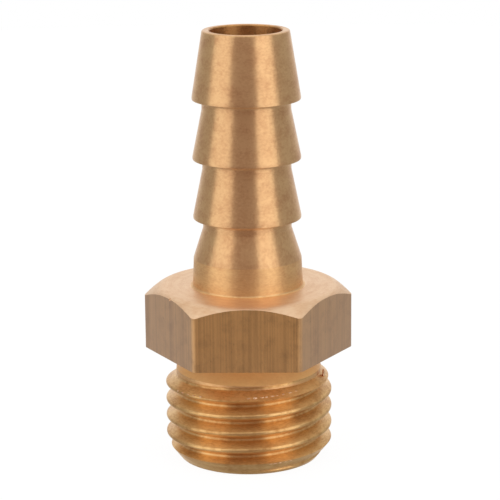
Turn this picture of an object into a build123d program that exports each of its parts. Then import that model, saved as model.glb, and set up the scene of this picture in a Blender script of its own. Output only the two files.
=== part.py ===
"""Brass hose tail: a barbed nozzle, a spanner hexagon and a parallel pipe thread.

One piece, turned from hexagon bar and bored right through. Millimetres, +Z up.
The origin is the centre of the threaded end face, and the barbs point up along +Z.
"""
from build123d import *
from math import ceil, radians, sqrt, tan
import os

# ---- Driving dimensions -------------------------------------------------------------

# Through bore
bore_diameter = 5.5
thread_end_countersink = 0.35
nose_countersink = 0.08

# Threaded spigot: G 1/4 parallel pipe thread, with its crests and roots cut flat
thread_length = 8.6
basic_thread_diameter = 13.157
thread_allowance = 0.25
threads_per_inch = 19
flank_angle = 55.0
form_depth_per_pitch = 0.640327
groove_start_angle = 211.9
end_chamfer_depth = 1.03
end_chamfer_length = 1.32

# Relief groove between the thread and the hexagon
relief_diameter = 9.2
relief_chamfer_angle = 45.0
relief_chamfer_foot_drop = 2.88

# Spanner hexagon, left from the drawn bar
across_flats = 14.0
hexagon_height = 5.0
bar_corner_radius = 0.55
top_face_diameter = 13.6
top_chamfer_angle = 35.0

# Plain shank above the hexagon
shank_foot_diameter = 8.5
shank_top_diameter = 8.3
shank_length = 2.22

# Barbs
barb_count = 3
barb_diameter = 8.28
barb_pitch = 4.585
barb_land = 0.2
barb_edge_chamfer = 0.05
last_cone_length = 3.10
neck_diameter = 6.80
neck_length = 0.78
neck_corner_chamfer = 0.36

# Nose, the outer end of the first barb
nose_diameter = 6.64
nose_barb_length = 5.23
nose_edge_chamfer = 0.13

# ---- Sizes that follow --------------------------------------------------------------

mm_per_inch = 25.4
cutter_clearance = 0.5
cuts_per_turn = 3

bore_radius = bore_diameter / 2
shank_foot_radius = shank_foot_diameter / 2
shank_top_radius = shank_top_diameter / 2
barb_radius = barb_diameter / 2
neck_radius = neck_diameter / 2
nose_radius = nose_diameter / 2
relief_radius = relief_diameter / 2

thread_pitch = mm_per_inch / threads_per_inch
thread_radius = (basic_thread_diameter - thread_allowance) / 2
thread_depth = form_depth_per_pitch * thread_pitch
groove_cut_rise = thread_pitch / cuts_per_turn
groove_cut_angle = 360 / cuts_per_turn
end_face_radius = thread_radius - end_chamfer_depth

hexagon_bottom = thread_length
hexagon_top = hexagon_bottom + hexagon_height
shank_top = hexagon_top + shank_length
lowest_barb_base = shank_top + last_cone_length
highest_barb_base = lowest_barb_base + (barb_count - 1) * barb_pitch
overall_length = highest_barb_base + nose_barb_length

relief_chamfer_foot = hexagon_bottom - relief_chamfer_foot_drop
relief_chamfer_rise = (thread_radius - relief_radius) / tan(radians(relief_chamfer_angle))
relief_chamfer_head = relief_chamfer_foot + relief_chamfer_rise


# ---- Turned outlines, drawn as radius and height ------------------------------------

def spigot_outline():
    """Threaded spigot and its relief groove, from the end face up to the hexagon."""
    return [
        (0, 0),
        (end_face_radius, 0),
        (thread_radius, end_chamfer_length),
        (thread_radius, relief_chamfer_foot),
        (relief_radius, relief_chamfer_head),
        (relief_radius, hexagon_bottom),
        (0, hexagon_bottom),
    ]


def barb_outline(base):
    """Neck under one barb, then the barb's underside and edge, from below upwards."""
    return [
        (neck_radius, base - neck_length),
        (neck_radius, base - neck_corner_chamfer),
        (neck_radius + neck_corner_chamfer, base),
        (barb_radius - barb_edge_chamfer, base),
        (barb_radius, base + barb_edge_chamfer),
        (barb_radius, base + barb_land),
    ]


def tail_outline():
    """Shank and barbs, from the top of the hexagon up to the nose."""
    points = [(0, hexagon_top), (shank_foot_radius, hexagon_top), (shank_top_radius, shank_top)]
    for number in range(barb_count):
        points += barb_outline(lowest_barb_base + number * barb_pitch)
    points += [
        (nose_radius, overall_length - nose_edge_chamfer),
        (nose_radius - nose_edge_chamfer, overall_length),
        (0, overall_length),
    ]
    return points


def turned(points):
    """Solid of revolution of a closed outline about the axis of the bar."""
    return revolve(Plane.XZ * make_face(Polyline(*points, close=True)), Axis.Z)


# ---- Thread -------------------------------------------------------------------------

def groove_section():
    """Section of one thread groove: a flat root, straight flanks, and a mouth clear of the crests."""
    flank_lean = tan(radians(flank_angle / 2))
    root_radius = thread_radius - thread_depth
    mouth_radius = thread_radius + cutter_clearance
    root_half_width = thread_pitch / 4 - thread_depth / 2 * flank_lean
    mouth_half_width = thread_pitch / 4 + thread_depth / 2 * flank_lean
    upper_half = [
        (root_radius, root_half_width),
        (thread_radius, mouth_half_width),
        (mouth_radius, mouth_half_width),
    ]
    lower_half = [(radius, -half_width) for radius, half_width in reversed(upper_half)]
    return make_face(Polyline(*upper_half, *lower_half, close=True))


def groove_cut():
    """Part turn of the right-hand groove, starting one pitch below the end face."""
    path = Helix(thread_pitch, groove_cut_rise, thread_radius)
    cut = sweep(Plane.XZ * groove_section(), path=path, is_frenet=True)
    return Pos(0, 0, -thread_pitch) * Rot(0, 0, groove_start_angle) * cut


def spigot():
    """Turned spigot, threaded one part turn at a time from its end face into the relief groove."""
    threaded = turned(spigot_outline())
    cut = groove_cut()
    for number in range(cuts_per_turn * (ceil(hexagon_bottom / thread_pitch) + 1)):
        threaded -= Pos(0, 0, number * groove_cut_rise) * Rot(0, 0, number * groove_cut_angle) * cut
    return threaded


# ---- Hexagon ------------------------------------------------------------------------

def hexagon():
    """Length of rounded hexagon bar with its upper corners chamfered by turning."""
    corner_distance = across_flats / sqrt(3)
    bar = fillet(RegularPolygon(corner_distance, 6).vertices(), bar_corner_radius)
    block = Pos(0, 0, hexagon_bottom) * extrude(bar, hexagon_height)
    top_radius = top_face_diameter / 2
    chamfer_drop = (corner_distance - top_radius) * tan(radians(top_chamfer_angle))
    envelope = [
        (0, hexagon_bottom),
        (corner_distance, hexagon_bottom),
        (corner_distance, hexagon_top - chamfer_drop),
        (top_radius, hexagon_top),
        (0, hexagon_top),
    ]
    return block & turned(envelope)


# ---- Bore ---------------------------------------------------------------------------

def bore():
    """Through bore with a countersink at each end."""
    outline = [
        (0, 0),
        (bore_radius + thread_end_countersink, 0),
        (bore_radius, thread_end_countersink),
        (bore_radius, overall_length - nose_countersink),
        (bore_radius + nose_countersink, overall_length),
        (0, overall_length),
    ]
    return turned(outline)


def hose_tail():
    """The whole fitting as one solid."""
    return spigot() + hexagon() + turned(tail_outline()) - bore()


os.makedirs("parts", exist_ok=True)
fitting = hose_tail()
export_step(fitting, "parts/hose_tail.step")
print("hose_tail:", len(fitting.solids()), "solid, volume", round(fitting.volume, 1), "mm3")
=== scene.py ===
"""Brass hose tail: barbed nose, spanner hexagon and parallel pipe thread, turned from one bar.

The piece is modelled in millimetres round its own axis and brought to metres at the end.
"""
import bmesh
import bpy
import random
from math import asin, ceil, cos, pi, radians, sin, sqrt, tan
from mathutils import Matrix, Vector


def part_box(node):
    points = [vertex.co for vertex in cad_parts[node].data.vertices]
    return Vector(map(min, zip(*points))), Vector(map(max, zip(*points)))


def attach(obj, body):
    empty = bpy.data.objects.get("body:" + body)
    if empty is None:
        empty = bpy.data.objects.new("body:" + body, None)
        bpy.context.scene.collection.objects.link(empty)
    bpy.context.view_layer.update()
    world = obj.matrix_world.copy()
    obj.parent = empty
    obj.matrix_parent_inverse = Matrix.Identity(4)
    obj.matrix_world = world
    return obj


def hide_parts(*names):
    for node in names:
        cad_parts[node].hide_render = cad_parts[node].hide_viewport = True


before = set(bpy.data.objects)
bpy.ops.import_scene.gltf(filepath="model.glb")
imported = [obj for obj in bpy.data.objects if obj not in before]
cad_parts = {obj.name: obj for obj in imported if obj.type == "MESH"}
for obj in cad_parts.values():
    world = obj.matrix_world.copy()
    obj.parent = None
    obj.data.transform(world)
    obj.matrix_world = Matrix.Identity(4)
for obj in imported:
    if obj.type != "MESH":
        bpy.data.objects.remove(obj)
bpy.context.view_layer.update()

MM = 0.001
NODE = "hose_tail"

# ---- Sizes of the body, in millimetres and degrees ------------------------------------

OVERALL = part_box(NODE)[1].z / MM

# Through bore
BORE_RADIUS = 2.75
BORE_MOUTH_CHAMFER = 0.35
BORE_NOSE_CHAMFER = 0.08

# Threaded spigot: G 1/4 parallel pipe thread, its crests turned down and rolled over
SPIGOT_LENGTH = 8.6
THREAD_RADIUS = 6.4535
MM_PER_INCH = 25.4
THREADS_PER_INCH = 19
THREAD_PITCH = MM_PER_INCH / THREADS_PER_INCH
DEPTH_PER_PITCH = 0.640327
ROUNDING_PER_PITCH = 0.137329
THREAD_DEPTH = DEPTH_PER_PITCH * THREAD_PITCH
THREAD_ROUNDING = ROUNDING_PER_PITCH * THREAD_PITCH
THREAD_FLANK_LEAN = 27.5
CREST_LAND = 0.04
GROOVE_START_ANGLE = 211.9
END_CHAMFER_DEPTH = 1.03
END_CHAMFER_LENGTH = 1.32

# Relief under the hexagon: a cone in to a short land, then a cone in to the floor
RELIEF_FOOT_DROP = 2.46
RELIEF_CONE_FOOT = SPIGOT_LENGTH - RELIEF_FOOT_DROP
CREST_CONE_ANGLE = 53.5
RELIEF_LAND_RADIUS = 5.62
RELIEF_LAND_HEIGHT = 0.33
RELIEF_CONE_ANGLE = 46.0
RELIEF_RADIUS = 4.3

# Spanner hexagon, left from the drawn bar
HEXAGON_SIDES = 6
ACROSS_FLATS = 14.0
HEXAGON_HEIGHT = 5.0
BAR_CORNER_RADIUS = 0.55
CORNER_HALF_TURN = 30.0
TOP_FACE_RADIUS = 6.8
TOP_CHAMFER_ANGLE = 35.0

# Plain shank
SHANK_FOOT_RADIUS = 4.25
SHANK_TOP_RADIUS = 4.15
SHANK_LENGTH = 2.22

# Barbs and nose
BARB_COUNT = 3
BARB_RADIUS = 4.14
BARB_PITCH = 4.585
BARB_LAND = 0.2
NECK_RADIUS = 3.40
NECK_LENGTH = 0.78
NOSE_RADIUS = 3.32
NOSE_BARB_LENGTH = 5.23

# Small rounds that the cutting tools leave
NECK_CORNER_ROUND = 0.36
BARB_EDGE_ROUND = 0.05
CONE_TOP_ROUND = 0.06
NOSE_EDGE_ROUND = 0.13
SHANK_FOOT_ROUND = 0.2
CROWN_ROUND = 1.2
EDGE_BREAK = 0.04
EDGE_BREAK_LEAST_ANGLE = 28

# Places that follow
HEXAGON_TOP = SPIGOT_LENGTH + HEXAGON_HEIGHT
SHANK_TOP = HEXAGON_TOP + SHANK_LENGTH
HIGHEST_BARB = OVERALL - NOSE_BARB_LENGTH
CORNER_RADIUS = ACROSS_FLATS / sqrt(3)

# Fineness of the mesh: steps, angles and distances
STEPS_ROUND = 240
ARC_STEP = 12
ROOT_STEPS = 4
CREST_STEPS = 5
BAR_CORNER_STEPS = 6
EDGE_BREAK_STEPS = 2
LUMP_FINENESS = 2
SHARP_ANGLE = 17
MERGE_DISTANCE = 1e-5
SHORTEST_EDGE = 1e-6

# How far parts run into or past one another, and how far a seat lies off its face
OVERLAP = 1.0
SEAT = 0.002
CUTTER_CLEARANCE = 0.5


# ---- Values of the finishes -----------------------------------------------------------

FINISHES = ["turned_brass", "threaded_brass", "drawn_brass", "faced_brass", "bored_brass",
            "relief_brass", "shank_brass"]

# Lathe marks: noise cycles per metre of travel, and how far they wander round the axis.
# The travel is the height plus a share of the radius, so level faces have rings too.
RING_MARKS = (("Lines", 9000.0, 16.0), ("Bands", 1500.0, 2.2))
RADIUS_SHARE = 1.7

# Drawing marks: noise cycles per metre across the bar and along it
DRAWN_MARKS = (("Lines", 7000.0, 60.0), ("Bands", 1500.0, 45.0))
MARK_DETAIL = 3.0

# Tarnish: noise cycles per metre, detail, roughness, and the range that shows
CLOUDS = (900.0, 5.0, 0.65)
CLOUD_RANGE = (0.42, 0.72)
SPECKS = (2600.0, 2.0, 0.55)
SPECK_RANGE = (0.66, 0.78)

# How marks and tarnish show on brass
STREAK_RANGE = (0.75, 1.35)
SPECK_SHARE = 0.9
PATCH_SHARE = 0.55
CLEAN_ROUGHNESS = -0.03
STAINED_ROUGHNESS = 0.07
MARK_HEIGHT = 0.00003

# Turn from the ring direction to the direction that the light is spread in
ACROSS_RINGS = 0.25
ROUND_THE_BAR = 0.0


# ---- Node helpers ---------------------------------------------------------------------

def mark_group(name, outputs):
    """New shared node group with mask outputs, and the end node that they leave by."""
    tree = bpy.data.node_groups.new(name, "ShaderNodeTree")
    for output in outputs:
        tree.interface.new_socket(output, in_out="OUTPUT", socket_type="NodeSocketFloat")
    return tree, tree.nodes.new("NodeGroupOutput")


def noise(tree, vector, scale, detail, roughness=0.55):
    """Soft noise value over a vector."""
    made = tree.nodes.new("ShaderNodeTexNoise")
    made.inputs["Scale"].default_value = scale
    made.inputs["Detail"].default_value = detail
    made.inputs["Roughness"].default_value = roughness
    tree.links.new(vector, made.inputs["Vector"])
    return made.outputs["Fac"]


def mapped(tree, value, low, high, to_low=0.0, to_high=1.0, smooth=True):
    """Value brought from one range into another, with soft ends if smooth is on."""
    made = tree.nodes.new("ShaderNodeMapRange")
    made.interpolation_type = "SMOOTHSTEP" if smooth else "LINEAR"
    for socket, number in zip(("From Min", "From Max", "To Min", "To Max"),
                              (low, high, to_low, to_high)):
        made.inputs[socket].default_value = number
    tree.links.new(value, made.inputs["Value"])
    return made.outputs[0]


def sum_of(tree, first, second, share):
    """First value plus a share of the second."""
    made = tree.nodes.new("ShaderNodeMath")
    made.operation = "MULTIPLY_ADD"
    tree.links.new(second, made.inputs[0])
    made.inputs[1].default_value = share
    tree.links.new(first, made.inputs[2])
    return made.outputs[0]


def product(tree, value, factor, clamp=False):
    """Value times a constant, kept between 0 and 1 if clamp is on."""
    made = tree.nodes.new("ShaderNodeMath")
    made.operation = "MULTIPLY"
    made.use_clamp = clamp
    tree.links.new(value, made.inputs[0])
    made.inputs[1].default_value = factor
    return made.outputs[0]


def vector_math(tree, operation, *vectors):
    """Node that works one operation on vectors."""
    made = tree.nodes.new("ShaderNodeVectorMath")
    made.operation = operation
    for socket, vector in zip(made.inputs, vectors):
        tree.links.new(vector, socket)
    return made


def separated(tree, vector):
    """X, Y and Z outputs of a vector."""
    made = tree.nodes.new("ShaderNodeSeparateXYZ")
    tree.links.new(vector, made.inputs[0])
    return made.outputs


def level_part(tree, parts):
    """Vector of the X and Y of a separated vector, without its Z."""
    made = tree.nodes.new("ShaderNodeCombineXYZ")
    for axis in ("X", "Y"):
        tree.links.new(parts[axis], made.inputs[axis])
    return made.outputs[0]


def colour_mix(tree, share, first, second):
    """Mix of two colours, each a constant or another node's output."""
    made = tree.nodes.new("ShaderNodeMix")
    made.data_type = "RGBA"
    tree.links.new(share, made.inputs["Factor"])
    for socket, colour in (("A", first), ("B", second)):
        if isinstance(colour, tuple):
            made.inputs[socket].default_value = (*colour, 1)
        else:
            tree.links.new(colour, made.inputs[socket])
    return made.outputs["Result"]


def new_material(name):
    """New material, and its node tree."""
    made = bpy.data.materials.new(name)
    made.use_nodes = True
    return made, made.node_tree


# ---- Finishes -------------------------------------------------------------------------

def ring_marks():
    """Rings that the lathe tool leaves: fine feed lines and broader bands."""
    tree, end = mark_group("ring_marks", ["Lines", "Bands"])
    place = tree.nodes.new("ShaderNodeTexCoord")
    parts = separated(tree, place.outputs["Object"])
    level = level_part(tree, parts)
    radius = vector_math(tree, "LENGTH", level).outputs["Value"]
    outward = vector_math(tree, "NORMALIZE", level).outputs[0]
    travel = sum_of(tree, parts["Z"], radius, RADIUS_SHARE)
    for output, density, wander in RING_MARKS:
        spread = vector_math(tree, "SCALE", outward)
        spread.inputs["Scale"].default_value = wander
        climb = tree.nodes.new("ShaderNodeCombineXYZ")
        tree.links.new(product(tree, travel, density), climb.inputs["Z"])
        track = vector_math(tree, "ADD", spread.outputs[0], climb.outputs[0])
        tree.links.new(noise(tree, track.outputs[0], 1.0, MARK_DETAIL), end.inputs[output])


def drawn_marks():
    """Streaks along the bar that the drawing die leaves."""
    tree, end = mark_group("drawn_marks", ["Lines", "Bands"])
    place = tree.nodes.new("ShaderNodeTexCoord")
    for output, across, along in DRAWN_MARKS:
        stretch = tree.nodes.new("ShaderNodeMapping")
        stretch.inputs["Scale"].default_value = (across, across, along)
        tree.links.new(place.outputs["Object"], stretch.inputs["Vector"])
        tree.links.new(noise(tree, stretch.outputs[0], 1.0, MARK_DETAIL), end.inputs[output])


def tarnish():
    """Handling marks: cloudy patches and small dark specks."""
    tree, end = mark_group("tarnish", ["Clouds", "Specks"])
    place = tree.nodes.new("ShaderNodeTexCoord").outputs["Object"]
    for output, grain, shown in (("Clouds", CLOUDS, CLOUD_RANGE),
                                 ("Specks", SPECKS, SPECK_RANGE)):
        tree.links.new(mapped(tree, noise(tree, place, *grain), *shown), end.inputs[output])


def brass(name, marks, colour, stain, roughness, anisotropy, across, depth, cover, metallic=1.0):
    """Brass whose marks spread the light and hold a little stain.

    across is the turn from the ring direction to the direction that the light is spread in,
    depth the strength of the marks' relief, and cover the share of the stain that shows.
    """
    made, tree = new_material(name)
    shader = tree.nodes["Principled BSDF"]
    lines = tree.nodes.new("ShaderNodeGroup")
    lines.node_tree = bpy.data.node_groups[marks]
    worn = tree.nodes.new("ShaderNodeGroup")
    worn.node_tree = bpy.data.node_groups["tarnish"]
    streaks = sum_of(tree, lines.outputs["Lines"], lines.outputs["Bands"], 1.0)
    patches = sum_of(tree, worn.outputs["Clouds"], worn.outputs["Specks"], SPECK_SHARE)
    both = sum_of(tree, mapped(tree, streaks, *STREAK_RANGE), patches, PATCH_SHARE)
    held = product(tree, both, cover, clamp=True)
    tree.links.new(colour_mix(tree, held, colour, stain), shader.inputs["Base Color"])
    rough = mapped(tree, held, 0.0, 1.0, roughness + CLEAN_ROUGHNESS,
                   roughness + STAINED_ROUGHNESS, smooth=False)
    tree.links.new(rough, shader.inputs["Roughness"])
    bump = tree.nodes.new("ShaderNodeBump")
    bump.inputs["Strength"].default_value = depth
    bump.inputs["Distance"].default_value = MARK_HEIGHT
    tree.links.new(streaks, bump.inputs["Height"])
    tree.links.new(bump.outputs[0], shader.inputs["Normal"])
    ring = tree.nodes.new("ShaderNodeTangent")
    ring.direction_type = "RADIAL"
    ring.axis = "Z"
    tree.links.new(ring.outputs[0], shader.inputs["Tangent"])
    shader.inputs["Metallic"].default_value = metallic
    shader.inputs["Anisotropic"].default_value = anisotropy
    shader.inputs["Anisotropic Rotation"].default_value = across
    return made


def painted_slant_sheen(material, colour, share):
    """Painted sheen: base colour turned pale where a surface is seen at a slant, standing in for
    a reflection of the pale surroundings at grazing angles.
    """
    tree = material.node_tree
    base = tree.nodes["Principled BSDF"].inputs["Base Color"]
    slant = tree.nodes.new("ShaderNodeLayerWeight")
    seen = product(tree, slant.outputs["Facing"], share)
    tree.links.new(colour_mix(tree, seen, base.links[0].from_socket, colour), base)


ring_marks()
drawn_marks()
tarnish()

brass("turned_brass", "ring_marks", colour=(0.90, 0.57, 0.28), stain=(0.66, 0.34, 0.16),
      roughness=0.36, anisotropy=0.85, across=ACROSS_RINGS, depth=0.3, cover=0.55)
brass("threaded_brass", "ring_marks", colour=(0.93, 0.59, 0.25), stain=(0.60, 0.30, 0.10),
      roughness=0.36, anisotropy=0.8, across=ACROSS_RINGS, depth=0.25, cover=0.7)
brass("faced_brass", "ring_marks", colour=(0.96, 0.68, 0.44), stain=(0.80, 0.48, 0.26),
      roughness=0.44, anisotropy=0.4, across=ACROSS_RINGS, depth=0.25, cover=0.5)
brass("shank_brass", "ring_marks", colour=(0.96, 0.62, 0.29), stain=(0.72, 0.38, 0.17),
      roughness=0.46, anisotropy=0.6, across=ACROSS_RINGS, depth=0.3, cover=0.5)
brass("bored_brass", "ring_marks", colour=(0.80, 0.43, 0.16), stain=(0.45, 0.20, 0.07),
      roughness=0.38, anisotropy=0.8, across=ACROSS_RINGS, depth=0.5, cover=0.7)
brass("relief_brass", "ring_marks", colour=(1.0, 0.63, 0.25), stain=(0.86, 0.50, 0.19),
      roughness=0.5, anisotropy=0.9, across=ACROSS_RINGS, depth=0.2, cover=0.4, metallic=0.15)
drawn_brass = brass("drawn_brass", "drawn_marks", colour=(0.74, 0.43, 0.17),
                    stain=(0.38, 0.21, 0.085), roughness=0.42, anisotropy=0.7,
                    across=ROUND_THE_BAR, depth=0.6, cover=0.68)
# Painted reflection on the hexagon: a pale pinkish colour towards the silhouette, where the
# surface is seen at a slant
painted_slant_sheen(drawn_brass, colour=(0.80, 0.62, 0.52), share=0.7)


# ---- Shaping helpers ------------------------------------------------------------------

def rounded(points, rounds):
    """Outline through points, with a tangent arc at each corner whose number is in rounds."""
    outline = []
    for number, point in enumerate(points):
        radius = rounds.get(number, 0)
        here = Vector(point)
        if not radius:
            outline.append(here)
            continue
        back = (Vector(points[number - 1]) - here).normalized()
        ahead = (Vector(points[number + 1]) - here).normalized()
        half = back.angle(ahead) / 2
        middle = here + (back + ahead).normalized() * (radius / sin(half))
        turn = pi - 2 * half
        start = here + back * (radius / tan(half)) - middle
        side = 1 if back.cross(ahead) < 0 else -1
        count = max(2, ceil(turn / radians(ARC_STEP)))
        for step in range(count + 1):
            angle = side * turn * step / count
            outline.append(middle + Matrix.Rotation(angle, 2) @ start)
    return outline


def closed(shape):
    """Merges the doubles of a finished shape and turns its faces outwards."""
    bmesh.ops.remove_doubles(shape, verts=shape.verts, dist=MERGE_DISTANCE)
    bmesh.ops.dissolve_degenerate(shape, edges=shape.edges, dist=SHORTEST_EDGE)
    bmesh.ops.recalc_face_normals(shape, faces=shape.faces)
    return shape


def spun(outline, start_angle=0.0):
    """Closed solid of revolution of an outline whose two ends lie on the axis."""
    shape = bmesh.new()
    points = [shape.verts.new((point[0], 0, point[1])) for point in outline]
    edges = [shape.edges.new(pair) for pair in zip(points, points[1:])]
    bmesh.ops.rotate(shape, verts=points, matrix=Matrix.Rotation(start_angle, 3, "Z"))
    bmesh.ops.spin(shape, geom=points + edges, axis=(0, 0, 1), angle=2 * pi,
                   steps=STEPS_ROUND, use_merge=True)
    return closed(shape)


def corners_of(geometry):
    """The vertices among a bmesh operator's results."""
    return [item for item in geometry if isinstance(item, bmesh.types.BMVert)]


def as_object(shape, name, finish):
    """Puts a finished shape in a new object at the origin, all its faces of one finish."""
    for face in shape.faces:
        face.material_index = FINISHES.index(finish)
    mesh = bpy.data.meshes.new(name)
    shape.to_mesh(mesh)
    shape.free()
    for each in FINISHES:
        mesh.materials.append(bpy.data.materials[each])
    made = bpy.data.objects.new(name, mesh)
    bpy.context.scene.collection.objects.link(made)
    return made


def finished(base):
    """Keeps the result of an object's modifiers as its mesh."""
    result = bpy.data.meshes.new_from_object(
        base.evaluated_get(bpy.context.evaluated_depsgraph_get()))
    base.modifiers.clear()
    base.data = result
    return base


def combined(base, other, operation):
    """Joins, cuts or overlaps two closed objects and keeps the result in the first."""
    modifier = base.modifiers.new(operation, "BOOLEAN")
    modifier.operation = operation
    modifier.solver = "MANIFOLD"
    modifier.object = other
    finished(base)
    bpy.data.objects.remove(other)
    return base


# ---- Turned parts of the body ---------------------------------------------------------

def tail_blank():
    """Shank, cones, necks and nose, with a root that sinks into the hexagon."""
    points = [
        (0, HEXAGON_TOP - OVERLAP),
        (SHANK_FOOT_RADIUS + OVERLAP, HEXAGON_TOP - OVERLAP),
        (SHANK_FOOT_RADIUS + OVERLAP, HEXAGON_TOP - SEAT),
        (SHANK_FOOT_RADIUS, HEXAGON_TOP - SEAT),
        (SHANK_TOP_RADIUS, SHANK_TOP),
    ]
    rounds = {3: SHANK_FOOT_ROUND, 4: CONE_TOP_ROUND}
    for number in range(BARB_COUNT):
        base = HIGHEST_BARB - (BARB_COUNT - 1 - number) * BARB_PITCH
        points += [(NECK_RADIUS, base - NECK_LENGTH), (NECK_RADIUS, base)]
        rounds[len(points) - 1] = NECK_CORNER_ROUND
        points += [(BARB_RADIUS, base), (BARB_RADIUS, base + BARB_LAND)]
        rounds[len(points) - 2] = BARB_EDGE_ROUND
        rounds[len(points) - 1] = BARB_EDGE_ROUND
    points += [(NOSE_RADIUS, OVERALL), (0, OVERALL)]
    rounds[len(points) - 2] = NOSE_EDGE_ROUND
    blank = as_object(spun(rounded(points, rounds)), "tail_blank", "turned_brass")
    for face in blank.data.polygons:
        if face.center.z < SHANK_TOP - CONE_TOP_ROUND / 2:
            face.material_index = FINISHES.index("shank_brass")
    return blank


def spigot_blank():
    """Spigot before threading: chamfered end, thread's crest cylinder, relief groove."""
    crest_drop = THREAD_RADIUS - RELIEF_LAND_RADIUS
    land_foot = RELIEF_CONE_FOOT + crest_drop / tan(radians(CREST_CONE_ANGLE))
    land_head = land_foot + RELIEF_LAND_HEIGHT
    relief_drop = RELIEF_LAND_RADIUS - RELIEF_RADIUS
    relief_head = land_head + relief_drop / tan(radians(RELIEF_CONE_ANGLE))
    points = [
        (0, 0),
        (THREAD_RADIUS - END_CHAMFER_DEPTH, 0),
        (THREAD_RADIUS, END_CHAMFER_LENGTH),
        (THREAD_RADIUS, RELIEF_CONE_FOOT),
        (RELIEF_LAND_RADIUS, land_foot),
        (RELIEF_LAND_RADIUS, land_head),
        (RELIEF_RADIUS, relief_head),
        (RELIEF_RADIUS, SPIGOT_LENGTH + OVERLAP),
        (0, SPIGOT_LENGTH + OVERLAP),
    ]
    outline = rounded(points, {1: EDGE_BREAK})
    blank = as_object(spun(outline, radians(GROOVE_START_ANGLE)), "spigot_blank", "turned_brass")
    for face in blank.data.polygons:
        zone = "threaded_brass" if face.center.z < land_foot else "shank_brass"
        if face.center.z > land_head:
            zone = "relief_brass"
        face.material_index = FINISHES.index(zone)
    return blank


def groove_outline():
    """Section of the thread groove: round root, straight flanks, crests rolled over."""
    lean = radians(THREAD_FLANK_LEAN)
    land = asin(CREST_LAND / 2 / THREAD_ROUNDING)
    crest_middle = THREAD_RADIUS - THREAD_ROUNDING * cos(land)
    root_middle = crest_middle + 2 * THREAD_ROUNDING - THREAD_DEPTH
    flank = pi / 2 - lean
    root = [(root_middle - THREAD_ROUNDING * cos(flank * step / ROOT_STEPS),
             THREAD_ROUNDING * sin(flank * step / ROOT_STEPS))
            for step in range(ROOT_STEPS + 1)]
    crest = []
    for step in range(CREST_STEPS + 1):
        angle = flank + (land - flank) * step / CREST_STEPS
        crest.append((crest_middle + THREAD_ROUNDING * cos(angle),
                      THREAD_PITCH / 2 - THREAD_ROUNDING * sin(angle)))
    mouth = (THREAD_RADIUS + CUTTER_CLEARANCE, crest[-1][1])
    upper = root + crest + [mouth]
    lower = [(radius, -height) for radius, height in reversed(upper[1:])]
    return upper + lower


def groove_cutter():
    """Right-hand helical groove, from one pitch below the end face up into the relief."""
    shape = bmesh.new()
    corners = [shape.verts.new((radius, 0, height - THREAD_PITCH))
               for radius, height in groove_outline()]
    edges = [shape.edges.new(pair) for pair in zip(corners, corners[1:] + corners[:1])]
    bmesh.ops.rotate(shape, verts=corners,
                     matrix=Matrix.Rotation(radians(GROOVE_START_ANGLE), 3, "Z"))
    bmesh.ops.spin(shape, geom=corners + edges, axis=(0, 0, 1), angle=2 * pi,
                   dvec=(0, 0, THREAD_PITCH / STEPS_ROUND), steps=STEPS_ROUND)
    first_turn = list(shape.verts) + list(shape.edges) + list(shape.faces)
    for number in range(1, ceil(SPIGOT_LENGTH / THREAD_PITCH) + 1):
        copied = bmesh.ops.duplicate(shape, geom=first_turn)["geom"]
        bmesh.ops.translate(shape, verts=corners_of(copied), vec=(0, 0, number * THREAD_PITCH))
    bmesh.ops.remove_doubles(shape, verts=shape.verts, dist=MERGE_DISTANCE)
    bmesh.ops.holes_fill(shape, edges=shape.edges)
    return as_object(closed(shape), "groove_cutter", "threaded_brass")


def bore_cutter():
    """Through bore with a chamfer at each end, run out past both faces."""
    points = [
        (0, -OVERLAP),
        (BORE_RADIUS + BORE_MOUTH_CHAMFER + OVERLAP, -OVERLAP),
        (BORE_RADIUS, BORE_MOUTH_CHAMFER),
        (BORE_RADIUS, OVERALL - BORE_NOSE_CHAMFER),
        (BORE_RADIUS + BORE_NOSE_CHAMFER + OVERLAP, OVERALL + OVERLAP),
        (0, OVERALL + OVERLAP),
    ]
    return as_object(spun(points), "bore_cutter", "bored_brass")


# ---- Hexagon --------------------------------------------------------------------------

def bar_piece():
    """Rounded hexagon bar that stands up past the hexagon's top, with a faced underside."""
    shape = bmesh.new()
    bmesh.ops.create_circle(shape, cap_ends=True, radius=CORNER_RADIUS, segments=HEXAGON_SIDES)
    bmesh.ops.rotate(shape, verts=shape.verts, matrix=Matrix.Rotation(pi / 2, 3, "Z"))
    bmesh.ops.translate(shape, verts=shape.verts, vec=(0, 0, SPIGOT_LENGTH))
    base = list(shape.faces)
    top = bmesh.ops.extrude_face_region(shape, geom=base, use_keep_orig=True)["geom"]
    bmesh.ops.translate(shape, verts=corners_of(top), vec=(0, 0, HEXAGON_HEIGHT + OVERLAP))
    uprights = [edge for edge in shape.edges
                if abs(edge.verts[0].co.z - edge.verts[1].co.z) > HEXAGON_HEIGHT / 2]
    bmesh.ops.bevel(shape, geom=uprights, affect="EDGES", segments=BAR_CORNER_STEPS,
                    offset=BAR_CORNER_RADIUS * tan(radians(CORNER_HALF_TURN)), profile=0.5,
                    material=-1)
    bar = as_object(closed(shape), "hexagon_block", "drawn_brass")
    for face in bar.data.polygons:
        if face.center.z < SPIGOT_LENGTH + SEAT:
            face.material_index = FINISHES.index("faced_brass")
    return bar


def chamfer_envelope():
    """Turned solid that leaves the hexagon's flat top, crown and chamfered corners."""
    reach = CORNER_RADIUS + OVERLAP
    drop = (reach - TOP_FACE_RADIUS) * tan(radians(TOP_CHAMFER_ANGLE))
    points = [
        (0, SPIGOT_LENGTH - OVERLAP),
        (reach, SPIGOT_LENGTH - OVERLAP),
        (reach, HEXAGON_TOP - drop),
        (TOP_FACE_RADIUS, HEXAGON_TOP),
        (0, HEXAGON_TOP),
    ]
    return as_object(spun(rounded(points, {3: CROWN_ROUND})), "chamfer_envelope", "faced_brass")


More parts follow.
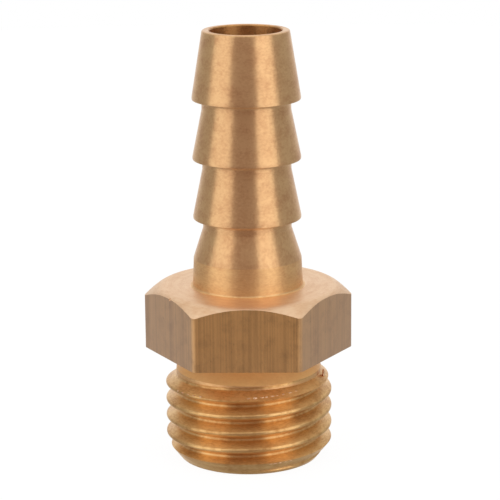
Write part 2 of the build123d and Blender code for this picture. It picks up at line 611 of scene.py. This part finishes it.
def hexagon_block():
    """Spanner hexagon, its upper corners chamfered by turning and its edges broken."""
    block = combined(bar_piece(), chamfer_envelope(), "INTERSECT")
    modifier = block.modifiers.new("edge_break", "BEVEL")
    modifier.limit_method = "ANGLE"
    modifier.angle_limit = radians(EDGE_BREAK_LEAST_ANGLE)
    modifier.width = EDGE_BREAK
    modifier.segments = EDGE_BREAK_STEPS
    modifier.material = FINISHES.index("faced_brass")
    return finished(block)


# ---- Burrs and a nick -----------------------------------------------------------------

# Places are degrees to the right of the front, and millimetres
BURR_SEED = 7
LAST_CREST_HEIGHT = 6.31
SHORT_BURRS = (-56, -50, -45, -39, -34, 1, 6, 10, 14, 18, 22, 27, 32, 37)
BURR_SCATTER = 0.8
BURR_WIDTHS = (0.09, 0.19)
BURR_THICKNESSES = (0.05, 0.08)
BURR_HEIGHTS = (0.04, 0.09)
LUMP_REACHES = (0.7, 1.15)

TALL_BURR_AZIMUTH = 79
TALL_BURR_SIZE = (0.16, 0.12, 0.36)
TALL_BURR_OUTWARD = 0.1
TALL_BURR_RISE = 0.12

# Azimuth, radius and height of the burrs on the first crest, by the end chamfer
END_BURRS = ((12, 5.71, 0.53), (16, 6.22, 1.04), (19, 6.22, 1.05), (21, 5.72, 0.55),
             (23, 6.23, 1.06), (27, 6.24, 1.08), (31, 6.25, 1.09))

NICK_PLACE = (-5.85, -3.86, 13.42)
NICK_RADIUS = 0.13


def round_axis(azimuth, radius, height):
    """Point at degrees to the right of the front, at a radius and a height."""
    return Vector((radius * sin(radians(azimuth)), -radius * cos(radians(azimuth)), height))


def crest_place(azimuth, outward=0.0):
    """Point on the edge of the last thread crest, at degrees to the right of the front."""
    height = LAST_CREST_HEIGHT + THREAD_PITCH * azimuth / 360
    radius = THREAD_RADIUS - (height - RELIEF_CONE_FOOT) * tan(radians(CREST_CONE_ANGLE))
    return round_axis(azimuth, min(radius, THREAD_RADIUS - SEAT) + outward, height)


def add_lump(shape, chance, place, azimuth, size):
    """One rough lump, turned to face outwards."""
    matrix = (Matrix.Translation(place) @ Matrix.Rotation(radians(azimuth), 4, "Z")
              @ Matrix.Diagonal((*size, 1)))
    lump = bmesh.ops.create_icosphere(shape, subdivisions=LUMP_FINENESS, radius=1.0,
                                      matrix=matrix)
    for corner in lump["verts"]:
        corner.co = place + (corner.co - place) * chance.uniform(*LUMP_REACHES)


def burrs():
    """Torn metal along the first and last crests: short lumps, and one tall sliver."""
    chance = random.Random(BURR_SEED)
    shape = bmesh.new()
    places = [(azimuth, crest_place(azimuth + chance.uniform(-BURR_SCATTER, BURR_SCATTER)))
              for azimuth in SHORT_BURRS]
    places += [(azimuth, round_axis(azimuth, radius, height))
               for azimuth, radius, height in END_BURRS]
    for azimuth, place in places:
        size = [chance.uniform(*limits)
                for limits in (BURR_WIDTHS, BURR_THICKNESSES, BURR_HEIGHTS)]
        add_lump(shape, chance, place, azimuth, size)
    tall_place = crest_place(TALL_BURR_AZIMUTH, TALL_BURR_OUTWARD)
    add_lump(shape, chance, tall_place + Vector((0, 0, TALL_BURR_RISE)), TALL_BURR_AZIMUTH,
             TALL_BURR_SIZE)
    return as_object(closed(shape), "burrs", "faced_brass")


def nick_cutter():
    """Small dent in the upper edge of the left flat."""
    shape = bmesh.new()
    bmesh.ops.create_icosphere(shape, subdivisions=LUMP_FINENESS, radius=NICK_RADIUS,
                               matrix=Matrix.Translation(NICK_PLACE))
    return as_object(closed(shape), "nick_cutter", "faced_brass")


# ---- The whole piece ------------------------------------------------------------------

def hose_tail_body():
    """The whole fitting as one closed mesh, in millimetres."""
    body = combined(spigot_blank(), groove_cutter(), "DIFFERENCE")
    body = combined(body, hexagon_block(), "UNION")
    body = combined(body, tail_blank(), "UNION")
    body = combined(body, bore_cutter(), "DIFFERENCE")
    body = combined(body, burrs(), "UNION")
    body = combined(body, nick_cutter(), "DIFFERENCE")
    body.name = "brass_hose_tail"
    return body


body = hose_tail_body()
body.data.transform(Matrix.Scale(MM, 4))
body.data.shade_smooth()
body.data.set_sharp_from_angle(angle=radians(SHARP_ANGLE))

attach(body, "root")
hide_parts(NODE)


# ---- Camera, in millimetres and degrees -----------------------------------------------

CAMERA_DISTANCE = 163.373
CAMERA_PITCH = 14.029
CAMERA_AZIMUTH = 0.916
CAMERA_ROLL = -0.494
TARGET_HEIGHT = 16.293
TARGET_SIDESTEP = 0.183
LENS = 152.91
CLIP_METRES = (0.01, 10)


def camera():
    """Long lens, slightly above the hexagon, that takes in the whole fitting."""
    turn = Matrix.Rotation(radians(CAMERA_AZIMUTH), 4, "Z")
    target = turn @ Vector((TARGET_SIDESTEP, 0, TARGET_HEIGHT))
    back = turn @ Vector((0, -cos(radians(CAMERA_PITCH)), sin(radians(CAMERA_PITCH))))
    data = bpy.data.cameras.new("camera")
    data.lens = LENS
    data.clip_start, data.clip_end = CLIP_METRES
    made = bpy.data.objects.new("camera", data)
    bpy.context.scene.collection.objects.link(made)
    made.location = (target + back * CAMERA_DISTANCE) * MM
    aim = (-back).to_track_quat("-Z", "Y").to_matrix().to_4x4()
    made.rotation_euler = (aim @ Matrix.Rotation(radians(CAMERA_ROLL), 4, "Z")).to_euler()
    bpy.context.scene.camera = made


# ---- Light and floor, in metres and degrees -------------------------------------------

LAMP_DISTANCE = 0.3
LAMP_HEIGHT = 0.66
LAMP_CENTRE_HEIGHT = 0.10

# Room: wall colours from straight in front, as 0, to straight behind, as 1
WALL = ((0.0, (0.29, 0.22, 0.21)), (0.2, (0.34, 0.29, 0.28)), (0.5, (0.40, 0.40, 0.40)),
        (0.80, (0.42, 0.42, 0.42)), (0.93, (0.62, 0.62, 0.62)), (1.0, (0.95, 0.95, 0.95)))
CEILING = (0.85, 0.85, 0.85)
CEILING_RISE = (0.35, 0.85)
GROUND = (0.38, 0.38, 0.38)
GROUND_FALL = (-0.45, -0.85)

FLOOR_RADIUS = 0.24
FLOOR_SIDES = 96
FLOOR_COLOUR = (0.9, 0.9, 0.9, 1)
FLOOR_ROUGHNESS = 0.9
FLOOR_GLOW = 1.05
FLOOR_GLOW_SHARE = 0.9


def strip_lamp(name, azimuth, width, level):
    """Tall soft lamp beside the camera; level is the brightness that a mirror would show."""
    data = bpy.data.lights.new(name, "AREA")
    data.shape = "RECTANGLE"
    data.size = width
    data.size_y = LAMP_HEIGHT
    data.energy = level * pi * width * LAMP_HEIGHT
    made = bpy.data.objects.new(name, data)
    bpy.context.scene.collection.objects.link(made)
    away = Vector((sin(radians(azimuth)), -cos(radians(azimuth)), 0))
    made.location = away * LAMP_DISTANCE + Vector((0, 0, LAMP_CENTRE_HEIGHT))
    made.rotation_euler = away.to_track_quat("Z", "Y").to_euler()
    made.visible_camera = False


def ramp(tree, value, stops):
    """Colour from a straight ramp through stops, as (position, colour)."""
    made = tree.nodes.new("ShaderNodeValToRGB")
    made.color_ramp.interpolation = "LINEAR"
    elements = made.color_ramp.elements
    while len(elements) < len(stops):
        elements.new(0.5)
    for element, (position, colour) in zip(elements, stops):
        element.position = position
        element.color = (*colour, 1)
    tree.links.new(value, made.inputs[0])
    return made.outputs["Color"]


def studio_world():
    """Dim room in front, white sheet behind, soft light overhead; white to the camera."""
    world = bpy.data.worlds.new("studio")
    world.use_nodes = True
    tree = world.node_tree
    place = tree.nodes.new("ShaderNodeTexCoord")
    parts = separated(tree, place.outputs["Generated"])
    level = vector_math(tree, "NORMALIZE", level_part(tree, parts)).outputs[0]
    towards_back = mapped(tree, separated(tree, level)["Y"], -1.0, 1.0, smooth=False)
    room = ramp(tree, towards_back, WALL)
    room = colour_mix(tree, mapped(tree, parts["Z"], *CEILING_RISE), room, CEILING)
    room = colour_mix(tree, mapped(tree, parts["Z"], *GROUND_FALL), room, GROUND)
    light = tree.nodes["Background"]
    tree.links.new(room, light.inputs["Color"])
    sheet = tree.nodes.new("ShaderNodeBackground")
    sheet.inputs["Color"].default_value = (1, 1, 1, 1)
    seen = tree.nodes.new("ShaderNodeLightPath")
    choice = tree.nodes.new("ShaderNodeMixShader")
    tree.links.new(seen.outputs["Is Camera Ray"], choice.inputs[0])
    tree.links.new(light.outputs[0], choice.inputs[1])
    tree.links.new(sheet.outputs[0], choice.inputs[2])
    tree.links.new(choice.outputs[0], tree.nodes["World Output"].inputs["Surface"])
    bpy.context.scene.world = world


def floor_paint():
    """Matt white that looks as bright as the sheet behind, but for the fitting's shadow."""
    paint, tree = new_material("white_floor")
    matt = tree.nodes["Principled BSDF"]
    matt.inputs["Base Color"].default_value = FLOOR_COLOUR
    matt.inputs["Roughness"].default_value = FLOOR_ROUGHNESS
    matt.inputs["Specular IOR Level"].default_value = 0.0
    glow = tree.nodes.new("ShaderNodeEmission")
    glow.inputs["Strength"].default_value = FLOOR_GLOW
    seen = tree.nodes.new("ShaderNodeLightPath")
    blend = tree.nodes.new("ShaderNodeMixShader")
    tree.links.new(product(tree, seen.outputs["Is Camera Ray"], FLOOR_GLOW_SHARE),
                   blend.inputs[0])
    tree.links.new(matt.outputs[0], blend.inputs[1])
    tree.links.new(glow.outputs[0], blend.inputs[2])
    tree.links.new(blend.outputs[0], tree.nodes["Material Output"].inputs["Surface"])
    return paint


def floor():
    """Plain white floor that neither shows in the metal nor shades it."""
    shape = bmesh.new()
    bmesh.ops.create_circle(shape, cap_ends=True, radius=FLOOR_RADIUS, segments=FLOOR_SIDES)
    mesh = bpy.data.meshes.new("floor")
    shape.to_mesh(mesh)
    shape.free()
    mesh.materials.append(floor_paint())
    made = bpy.data.objects.new("floor", mesh)
    bpy.context.scene.collection.objects.link(made)
    made.visible_glossy = False
    made.visible_shadow = False


camera()
floor()
studio_world()
strip_lamp("left_strip", azimuth=-60, width=0.28, level=0.66)
strip_lamp("right_strip", azimuth=48, width=0.25, level=0.80)
bpy.context.scene.view_settings.view_transform = "Standard"
